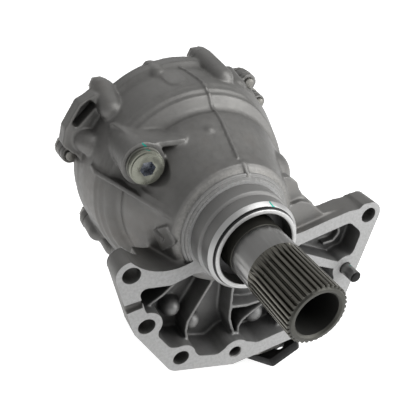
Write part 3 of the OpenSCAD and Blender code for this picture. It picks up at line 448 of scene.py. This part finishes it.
def make_finishes():
    # In each finish, the hollow amount, reach and dark colour set its painted shade: how strongly, how far
    # and toward what colour its hollows are darkened
    oily_shade = (0.012, 0.011, 0.006)
    return {
        "cast": cast_metal("cast_aluminium", (0.186, 0.183, 0.176), strokes=BOSS_STROKES),
        "cast_cover": cast_metal("cast_aluminium_cover", (0.18, 0.177, 0.171), stain=0.7),
        # Cast skin inside the open pockets, with stronger, wider painted shade toward near-black
        "pocket": cast_metal(
            "cast_pocket_shaded", (0.2, 0.2, 0.197), stain=0.2, hollow_shade=0.8, reach=0.028,
            shade_colour=(0.010, 0.010, 0.010)
        ),
        "collar": machined_metal(
            "cast_collar", (0.22, 0.218, 0.213), lines=1500, depth=0.5, roughness=0.5, metallic=0.45,
            hollow_shade=0.5, edge=(0.4, 0.4, 0.39)
        ),
        # Pilot: its lower side is painted lighter, standing in for the light that falls there
        "pilot": machined_metal(
            "pilot_side", (0.22, 0.218, 0.213), lines=1500, depth=0.4, roughness=0.5, metallic=0.35,
            hollow_shade=0.25, edge=(0.5, 0.5, 0.49), strokes=SPIGOT_STROKES, painted_light_below=(0.4, 0.4, 0.396)
        ),
        "milled": machined_metal(
            "milled_face", (0.34, 0.34, 0.336), turned=0.0, lines=2400, depth=0.08, roughness=0.5,
            metallic=0.25, hollow_shade=0.1, edge=(0.5, 0.5, 0.5)
        ),
        # Bored holes: strong painted shade darkens their insides toward an oily dark
        "bored": machined_metal(
            "bored_aluminium", (0.36, 0.36, 0.355), roughness=0.42, metallic=0.7,
            hollow_shade=0.9, reach=0.02, shade_colour=oily_shade
        ),
        "turned": machined_metal(
            "turned_aluminium", (0.46, 0.46, 0.456), roughness=0.36, metallic=0.65,
            hollow_shade=0.5, strokes=SPIGOT_STROKES
        ),
        "shaft": machined_metal(
            "shaft_steel", (0.25, 0.245, 0.235), roughness=0.34, lines=1800, hollow_shade=0.75, reach=0.004
        ),
        # Tube: strong, wide painted shade near neighbouring parts, toward an oily dark
        "tube": machined_metal(
            "tube_steel", (0.33, 0.327, 0.321), roughness=0.32, lines=1800, depth=0.1, metallic=0.95,
            hollow_shade=1.4, reach=0.014, edge=(0.4, 0.39, 0.37), shade_colour=oily_shade
        ),
        # Splines: very strong painted shade darkens the grooves toward near-black, over the olive tint of oil
        "spline": machined_metal(
            "spline_steel", (0.17, 0.164, 0.143), roughness=0.3, lines=1800, metallic=0.9,
            hollow_shade=1.9, reach=0.0055, edge=(0.5, 0.49, 0.46), shade_colour=(0.010, 0.009, 0.004)
        ),
        "shaft_end": machined_metal(
            "shaft_end_steel", (0.062, 0.061, 0.053), roughness=0.42, metallic=0.7,
            hollow_shade=0.9, edge=(0.25, 0.24, 0.22), shade_colour=oily_shade
        ),
        # The tube's bore: near-black, painted shade inside the bore over an oily tint
        "bore": machined_metal(
            "oily_shaded_bore", (0.012, 0.012, 0.01), roughness=0.6, metallic=0.2, hollow_shade=0.95, reach=0.03,
            edge=(0.03, 0.03, 0.027), shade_colour=(0.003, 0.003, 0.002)
        ),
        "bright": machined_metal("ground_steel", (0.55, 0.55, 0.55), roughness=0.22),
        "gear": machined_metal("gear_steel", (0.28, 0.27, 0.26), roughness=0.3, lines=1400),
        "zinc": coated(
            "yellow_zinc", (0.21, 0.215, 0.18), (0.45, 0.45, 0.38), roughness=0.32, metallic=0.75, worn=0.7,
            strokes=PLUG_STROKES
        ),
        "socket": coated(
            "socket_steel", (0.34, 0.36, 0.4), (0.7, 0.72, 0.76), roughness=0.25, metallic=0.85, worn=0.5
        ),
        "bolt": coated("bolt_zinc", (0.20, 0.195, 0.18), (0.5, 0.5, 0.48), roughness=0.36, metallic=0.8),
        "black": coated(
            "black_coating", (0.003, 0.003, 0.0033), (0.03, 0.03, 0.03), roughness=0.5, worn=0.3,
            metallic=0.0, gloss=0.12
        ),
        "stud": machined_metal(
            "stud_steel", (0.24, 0.24, 0.236), roughness=0.36, lines=1400, depth=0.6, edge=(0.35, 0.35, 0.34),
            strokes=STUD_STROKES
        ),
        "stud_end": coated(
            "stud_end_oxide", (0.006, 0.006, 0.006), (0.03, 0.03, 0.03), roughness=0.5, worn=0.2,
            metallic=0.0, gloss=0.15
        ),
        "rubber": rubber("black_rubber"),
        "seal": rubber("brown_rubber", (0.05, 0.022, 0.014)),
        "cage": machined_metal("pressed_steel", (0.24, 0.235, 0.22), roughness=0.42, lines=900),
        "washer": machined_metal("washer_aluminium", (0.2, 0.2, 0.18), roughness=0.4),
    }


finish_of = make_finishes()


# Mesh helpers
def mesh_object(bm, name, *finishes, smooth=True):
    mesh = bpy.data.meshes.new(name)
    bm.to_mesh(mesh)
    bm.free()
    piece = bpy.data.objects.new(name, mesh)
    collection.objects.link(piece)
    for finish in finishes:
        mesh.materials.append(finish_of[finish])
    if smooth:
        mesh.shade_smooth()
    return piece


def copy_of(node, name, *finishes):
    bm = bmesh.new()
    bm.from_mesh(nodes[node].data)
    bmesh.ops.remove_doubles(bm, verts=bm.verts, dist=0.000004)
    return mesh_object(bm, name, *finishes)


def apply_modifiers(piece):
    bpy.context.view_layer.objects.active = piece
    for other in bpy.context.selected_objects:
        other.select_set(False)
    piece.select_set(True)
    for modifier in list(piece.modifiers):
        bpy.ops.object.modifier_apply(modifier=modifier.name)


def axis_distance(point):
    return math.hypot(point.x, point.z)


def belongs(piece, body, slot_name, *replaced):
    if replaced:
        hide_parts(*replaced)
    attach(piece, body)


# Castings: a fine skin over the CAD solid; hollow corners fill to soft blends, outer edges wear only a
# little, and "give" says how much the skin may move at a point, from 0 on machined places to 1
def skinned_copy(node, name, voxel, *finishes):
    piece = copy_of(node, name, *finishes)
    skin = piece.modifiers.new("skin", "REMESH")
    skin.mode = "VOXEL"
    skin.voxel_size = voxel
    apply_modifiers(piece)
    return piece


def smooth_piece(piece, passes):
    smooth = piece.modifiers.new("smooth", "SMOOTH")
    smooth.factor = 0.5
    smooth.iterations = passes
    apply_modifiers(piece)


def soften_casting(piece, passes, edge_share, give):
    before = [vertex.co.copy() for vertex in piece.data.vertices]
    outward = [vertex.normal.copy() for vertex in piece.data.vertices]
    smooth_piece(piece, passes)
    for vertex, start, normal in zip(piece.data.vertices, before, outward):
        moved = vertex.co - start
        share = 1.0 if moved.dot(normal) > 0 else edge_share
        vertex.co = start + moved * share * give(start)


def settle_casting(piece, give):
    before = [vertex.co.copy() for vertex in piece.data.vertices]
    smooth_piece(piece, 2)
    for vertex, start in zip(piece.data.vertices, before):
        vertex.co = start.lerp(vertex.co, give(start))


def thin_to(piece, triangles):
    count = sum(len(face.vertices) - 2 for face in piece.data.polygons)
    if count > triangles:
        thin = piece.modifiers.new("thin", "DECIMATE")
        thin.ratio = triangles / count
        apply_modifiers(piece)
    piece.data.shade_smooth()


make_camera()

MOUNT_HOLES = [(-0.0801, -0.0138), (-0.0722, -0.0629), (-0.0464, -0.1061), (0.1195, -0.0217), (0.091, -0.114)]
MOUNT_HOLE_R = 0.00675
TAPPED_HOLE = (0.0014, -0.1211)
TAPPED_HOLE_R = 0.0051
HOLE_END_Y = 0.0405


def near_hole(point, extra):
    if point.y > HOLE_END_Y:
        return False
    for x, z in MOUNT_HOLES:
        if math.hypot(point.x - x, point.z - z) < MOUNT_HOLE_R + extra:
            return True
    return math.hypot(point.x - TAPPED_HOLE[0], point.z - TAPPED_HOLE[1]) < TAPPED_HOLE_R + extra


def pinion_place(point):
    """How far out along the pinion axis a point lies, and how far from it."""
    along = point.x * -math.sin(PINION_LEAN) - point.z * math.cos(PINION_LEAN)
    aside = point.x * math.cos(PINION_LEAN) - point.z * math.sin(PINION_LEAN)
    return along, math.hypot(aside, point.y - PINION_Y)


# The casting seam over the top, as places of (y, x) from back to front
SEAM_LINE = [
    (0.106, 0.003), (0.097, 0.0055), (0.080, 0.008), (0.060, 0.009), (0.043, 0.009), (0.020, 0.0065),
    (0.001, 0.008),
]


def seam_gap(point):
    """Sideways distance to the casting seam over the top."""
    if point.z < 0.03 or point.y > SEAM_LINE[0][0]:
        return 1.0
    for (y1, x1), (y0, x0) in zip(SEAM_LINE, SEAM_LINE[1:]):
        if y0 <= point.y <= y1:
            return abs(point.x - x0 - (x1 - x0) * (point.y - y0) / (y1 - y0))
    return 1.0


def casing_give(point):
    if point.y < 0.0006 or point.y > COVER_Y - 0.0012 or near_hole(point, 0.0009):
        return 0.0
    radius = axis_distance(point)
    if radius < COLLAR_R + 0.001 and point.y < 0.0366:
        return 0.0
    along, aside = pinion_place(point)
    if along > 0.045 and aside < 0.0368:
        return 0.0
    if math.hypot(point.x - FILL_AT.x, point.z - FILL_AT.z) < 0.0172 and abs(point.y - FILL_AT.y) < 0.0012:
        return 0.0
    fade = min(1.0, (point.y - 0.0006) / 0.003)
    if seam_gap(point) < 0.0022:
        return 0.08 * fade
    if (point - HOOK_PAD_AT).length < 0.015:
        return 0.15 * fade
    return fade


# Where the bell runs down into the flange, the blend is much broader
def foot_give(point):
    share = 1 - (point - Vector((-0.048, 0.020, -0.012))).length / 0.042
    return max(0.0, min(1.0, share * 3)) * casing_give(point)


# The spigot and the collar are turned pieces of their own, so the skin is sunk behind them
def sink_behind_turned(piece):
    steps = [(0.0384, 0.0008), (0.0404, 0.0018), (0.042, 0.003), (0.0437, 0.0037)]
    for vertex in piece.data.vertices:
        point = vertex.co
        radius = axis_distance(point)
        if radius < SPIGOT_FOOT_R + 0.0012 and point.y < 0:
            point.y *= 0.02
        if SPIGOT_FOOT_R < radius < steps[-1][0] and seam_gap(point) > 0.0018:
            floor = next(depth for limit, depth in steps if radius < limit)
            point.y = max(point.y, floor)


# Outlines of the open pockets in the flange face, as (x, z)
LOWER_POCKET = [
    (-0.0765, -0.027), (-0.052, -0.032), (-0.034, -0.028), (-0.02, -0.03), (0.04, -0.034), (0.06, -0.05),
    (0.093, -0.067), (0.093, -0.098), (0.078, -0.1135), (0.022, -0.1195), (-0.015, -0.117),
    (-0.031, -0.111), (-0.039, -0.097),
    (-0.055, -0.092), (-0.064, -0.076), (-0.061, -0.058), (-0.072, -0.05),
]
ARM_POCKET = [
    (0.044, -0.035), (0.056, -0.0305), (0.102, -0.0235), (0.115, -0.037), (0.1095, -0.056),
    (0.097, -0.0615), (0.062, -0.0415),
]


def inside_outline(x, z, outline):
    inside = False
    for (x0, z0), (x1, z1) in zip(outline, outline[1:] + outline[:1]):
        if (z0 > z) != (z1 > z) and x < x0 + (x1 - x0) * (z - z0) / (z1 - z0):
            inside = not inside
    return inside


def faces_pocket(centre, normal):
    """True for a wall, rib or floor that looks into one of the open pockets."""
    if not 0.0004 < centre.y < POCKET_END_Y + 0.002:
        return False
    x = centre.x + normal.x * 0.002
    z = centre.z + normal.z * 0.002
    return inside_outline(x, z, LOWER_POCKET) or inside_outline(x, z, ARM_POCKET)


def casing_finish(centre, normal):
    if near_hole(centre, 0.0008) and abs(normal.y) < 0.7:
        return 1
    if axis_distance(centre) < 0.0286:
        return 1
    if centre.y > COVER_Y - 0.0004 and normal.y > 0.9:
        return 2
    # Faces looking into the open pockets take the finish with deeper painted shade
    return 3 if faces_pocket(centre, normal) else 0


def make_casing():
    casing = skinned_copy("case", "casing", 0.0008, "cast", "bored", "milled", "pocket")
    soften_casting(casing, 16, 0.3, casing_give)
    soften_casting(casing, 90, 0.15, foot_give)
    settle_casting(casing, casing_give)
    thin_to(casing, 196000)
    sink_behind_turned(casing)
    for polygon in casing.data.polygons:
        polygon.material_index = casing_finish(polygon.center, polygon.normal)
    belongs(casing, "housing", "cast_case", "case")


def cover_give(point):
    return 0.0 if point.y < COVER_Y + 0.001 else 1.0


def make_cover():
    cover = skinned_copy("cover", "cover_casting", 0.0010, "cast_cover", "milled")
    soften_casting(cover, 12, 0.3, cover_give)
    settle_casting(cover, cover_give)
    thin_to(cover, 120000)
    for polygon in cover.data.polygons:
        spot = abs(polygon.center.y - BOLT_FACE_Y) < 0.0003 and polygon.normal.y > 0.95
        polygon.material_index = 1 if spot and axis_distance(polygon.center) > 0.078 else 0
    belongs(cover, "housing", "cast_cover", "cover")


# Machined faces: thin plates cut from the CAD faces, so that their outlines stay sharp
def machined_plates(name, chosen, out, depth):
    bm = bmesh.new()
    bm.from_mesh(nodes["case"].data)
    bmesh.ops.remove_doubles(bm, verts=bm.verts, dist=0.000004)
    spare = [face for face in bm.faces if not chosen(face.calc_center_median(), face.normal)]
    bmesh.ops.delete(bm, geom=spare, context="FACES")
    bmesh.ops.translate(bm, verts=bm.verts, vec=(0, out, 0))
    grown = bmesh.ops.extrude_face_region(bm, geom=bm.faces[:], use_keep_orig=True)
    moved = [item for item in grown["geom"] if isinstance(item, bmesh.types.BMVert)]
    bmesh.ops.translate(bm, verts=moved, vec=(0, depth, 0))
    bmesh.ops.recalc_face_normals(bm, faces=bm.faces)
    plates = mesh_object(bm, name, "milled", smooth=False)
    belongs(plates, "housing", "cast_case")


def is_flange_face(centre, normal):
    return abs(centre.y) < 0.00001 and normal.y < -0.99 and axis_distance(centre) > SPIGOT_FOOT_R


def is_spot_face(centre, normal):
    return abs(centre.y - FLANGE_T) < 0.00001 and normal.y > 0.99 and near_hole(centre, 0.0040)


# Turned rings round the input axis, from a closed profile of (radius, y)
TURNED_STEPS = 160


def turned_ring(name, profile, edge, *finishes):
    bm = bmesh.new()
    corners = [bm.verts.new((radius, y, 0)) for radius, y in profile]
    lines = [bm.edges.new((corners[i - 1], corners[i])) for i in range(len(corners))]
    bmesh.ops.spin(
        bm, geom=corners + lines, cent=(0, 0, 0), axis=(0, 1, 0), angle=math.tau, steps=TURNED_STEPS,
        use_merge=True,
    )
    bmesh.ops.remove_doubles(bm, verts=bm.verts, dist=0.000002)
    bmesh.ops.recalc_face_normals(bm, faces=bm.faces)
    sharp = [line for line in bm.edges if line.calc_face_angle(0) > 0.4]
    bmesh.ops.bevel(
        bm, geom=sharp, offset=edge, offset_type="OFFSET", affect="EDGES", segments=2, profile=0.5,
        material=-1,
        clamp_overlap=True,
    )
    ring = mesh_object(bm, name, *finishes)
    ring.data.set_sharp_from_angle(angle=0.6)
    belongs(ring, "housing", "cast_case")
    return ring


def make_spigot():
    lip_r = SPIGOT_R - 0.0034
    groove_r = SPIGOT_R - 0.00495
    groove_y = SPIGOT_END_Y + 0.0008
    groove_end = groove_y + 0.00195
    spigot = turned_ring(
        "spigot",
        [
            (SPIGOT_BORE_R, SEAL_STEP_Y), (SPIGOT_BORE_R, SPIGOT_END_Y + 0.0008),
            (SPIGOT_BORE_R + 0.0008, SPIGOT_END_Y), (lip_r - 0.0005, SPIGOT_END_Y),
            (lip_r, SPIGOT_END_Y + 0.0005), (lip_r, groove_y), (groove_r, groove_y), (groove_r, groove_end),
            (SPIGOT_R - 0.0029, groove_end), (SPIGOT_R - 0.0023, groove_end + 0.0002),
            (SPIGOT_R, groove_end + 0.0029), (SPIGOT_R, -0.013), (SPIGOT_R - 0.0005, -0.0128),
            (SPIGOT_R - 0.0005, -0.012), (SPIGOT_FOOT_R - 0.0008, -0.0114), (SPIGOT_FOOT_R, -0.0106),
            (SPIGOT_FOOT_R, 0.001), (SHAFT_BORE_R, 0.001), (SHAFT_BORE_R, SEAL_STEP_Y),
        ],
        0.00012, "turned", "bored", "pilot", "rubber",
    )
    for polygon in spigot.data.polygons:
        radius = axis_distance(polygon.center)
        if radius < SPIGOT_BORE_R + 0.0001:
            polygon.material_index = 1
        elif polygon.center.y > groove_end + 0.0030:
            polygon.material_index = 2
        elif groove_y - 0.0002 < polygon.center.y < groove_end + 0.0001 and radius < lip_r + 0.0008:
            polygon.material_index = 3


def make_collar():
    turned_ring(
        "collar",
        [
            (0.036, 0.0001), (0.0384, 0.0001), (0.0387, 0.0008), (0.0404, 0.0009), (0.0407, 0.0019),
            (0.0421, 0.0021), (0.0427, 0.0027), (0.0427, 0.0041), (0.0448, 0.0054),
            (0.0458, 0.007), (0.0458, 0.009), (0.036, 0.009),
        ],
        0.00015, "collar",
    )


# Small hard parts: the CAD shape with its edges eased, so that they catch the light
def eased_copy(node, width, finish, body, slot_name):
    piece = copy_of(node, node + "_finished", finish)
    ease = piece.modifiers.new("ease", "BEVEL")
    ease.width = width
    ease.segments = 2
    ease.limit_method = "ANGLE"
    ease.angle_limit = math.radians(28)
    ease.use_clamp_overlap = True
    ease.harden_normals = True
    apply_modifiers(piece)
    belongs(piece, body, slot_name, node)
    return piece


SLOTS = {row["node"]: row["material_slot"] for row in frame["record"]["subparts"]}
EASED = [
    ("cover_bolts", 0.0003, "bolt"), ("fill_plug", 0.0004, "zinc"), ("drain_plug", 0.0004, "zinc"),
    ("fill_plug_washer", 0.0002, "washer"), ("drain_plug_washer", 0.0002, "washer"),
    ("companion_flange", 0.0006, "black"), ("dust_shield", 0.0003, "cage"), ("pinion_nut", 0.0005, "bolt"),
    ("mounting_stud", 0.0003, "stud"), ("breather", 0.0004, "bolt"), ("input_shaft", 0.00012, "tube"),
]


def make_eased():
    for node, width, finish in EASED:
        piece = eased_copy(node, width, finish, nodes[node]["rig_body"], SLOTS[node])
        if node == "input_shaft":
            dress_shaft(piece)
        if node == "fill_plug":
            piece.data.materials.append(finish_of["socket"])
            for polygon in piece.data.polygons:
                aside = math.hypot(polygon.center.x - FILL_AT.x, polygon.center.z - FILL_AT.z)
                inside = aside < SOCKET_R and polygon.center.y > FILL_AT.y - 0.0078
                polygon.material_index = 1 if inside and polygon.center.y < FILL_AT.y + 0.005 else 0
        if node == "mounting_stud":
            piece.data.materials.append(finish_of["stud_end"])
            for polygon in piece.data.polygons:
                polygon.material_index = 1 if polygon.center.y < STUD_TIP_Y else 0


# The shaft: plain tube, splined end, front face and bore each have their own look; the bore is near-black
# painted shade
def dress_shaft(shaft):
    for finish in ("spline", "shaft_end", "bore"):
        shaft.data.materials.append(finish_of[finish])
    for polygon in shaft.data.polygons:
        centre = polygon.center
        # The bore takes the near-black painted-shade finish
        if axis_distance(centre) < TUBE_BORE_R + 0.0003:
            polygon.material_index = 3
        elif centre.y < TUBE_END_Y + 0.0013 or centre.y > OILY_FROM_Y:
            polygon.material_index = 2
        elif centre.y < SPLINE_FOOT_Y:
            polygon.material_index = 1


# CAD nodes that keep their own shape and take a finish here
FINISHES = {
    "shaft": ["pinion"],
    "gear": ["ring_gear"],
    "bolt": ["ring_gear_bolts"],
    "bright": ["cover_dowels", "preload_shim", "pinion_shim", "crush_sleeve"],
    "rubber": ["spigot_o_ring", "pinion_seal", "input_seal"],
    "seal": ["half_shaft_seal"],
    "cage": [],
}
for place in ("front", "rear", "head", "tail"):
    FINISHES["bright"] += [f"{place}_bearing_{part}" for part in ("cup", "cone", "rollers")]
    FINISHES["cage"].append(f"{place}_bearing_cage")


def dress_nodes():
    for finish, members in FINISHES.items():
        for member in members:
            mesh = nodes[member].data
            mesh.materials.clear()
            mesh.materials.append(finish_of[finish])


make_casing()
make_cover()
machined_plates("flange_face", is_flange_face, -0.00002, 0.0004)
machined_plates("spot_faces", is_spot_face, 0.00002, -0.0004)
make_spigot()
make_collar()
make_eased()
dress_nodes()


# Floor, lamps and world
FLOOR_GLOW = 0.8
WORLD_LIGHT = 0.40


def floor_material():
    material = bpy.data.materials.new("pale_floor")
    material.use_nodes = True
    tree = material.node_tree
    tree.nodes.clear()
    diffuse = add(tree, "ShaderNodeBsdfDiffuse")
    diffuse.inputs["Color"].default_value = (0.8, 0.8, 0.8, 1)
    glow = add(tree, "ShaderNodeEmission")
    path = add(tree, "ShaderNodeLightPath")
    mirrored = value_math(
        tree, "MAXIMUM", path.outputs["Is Glossy Ray"], path.outputs["Is Transmission Ray"]
    )
    seen = value_math(tree, "MAXIMUM", path.outputs["Is Camera Ray"], mirrored)
    join(tree, value_math(tree, "MULTIPLY", seen, FLOOR_GLOW), glow.inputs["Strength"])
    both = add(tree, "ShaderNodeAddShader")
    join(tree, diffuse.outputs[0], both.inputs[0])
    join(tree, glow.outputs[0], both.inputs[1])
    out = add(tree, "ShaderNodeOutputMaterial")
    join(tree, both.outputs[0], out.inputs["Surface"])
    return material


def make_floor():
    bm = bmesh.new()
    bmesh.ops.create_grid(bm, x_segments=1, y_segments=1, size=4)
    bmesh.ops.translate(bm, verts=bm.verts, vec=(0, 0, cad_low.z - 0.0005))
    mesh = bpy.data.meshes.new("floor")
    bm.to_mesh(mesh)
    bm.free()
    floor = bpy.data.objects.new("floor", mesh)
    mesh.materials.append(floor_material())
    collection.objects.link(floor)


def area_lamp(name, place, aim, size, energy):
    lamp = bpy.data.lights.new(name, "AREA")
    lamp.shape = "SQUARE"
    lamp.size = size
    lamp.energy = energy
    holder = bpy.data.objects.new(name, lamp)
    collection.objects.link(holder)
    holder.location = place
    holder.rotation_euler = (Vector(aim) - Vector(place)).to_track_quat("-Z", "Y").to_euler()


def make_light():
    aim = (0, 0.03, 0)
    area_lamp("key_lamp", (0.8, -0.7, 1.1), aim, 1.1, 13)
    area_lamp("fill_lamp", (1.3, -1.0, 0.35), aim, 1.0, 14)
    area_lamp("back_lamp", (0.3, 1.4, 1.0), aim, 1.0, 1.8)
    world = bpy.data.worlds.new("studio")
    bpy.context.scene.world = world
    world.use_nodes = True
    tree = world.node_tree
    background = tree.nodes["Background"]
    path = add(tree, "ShaderNodeLightPath")
    strength = add(tree, "ShaderNodeMix", data_type="FLOAT")
    join(tree, path.outputs["Is Camera Ray"], strength.inputs[0])
    strength.inputs[2].default_value = WORLD_LIGHT
    strength.inputs[3].default_value = 1.0
    join(tree, strength.outputs[0], background.inputs["Strength"])
    background.inputs["Color"].default_value = (1, 1, 1, 1)


make_floor()
make_light()
bpy.context.scene.view_settings.view_transform = "Standard"
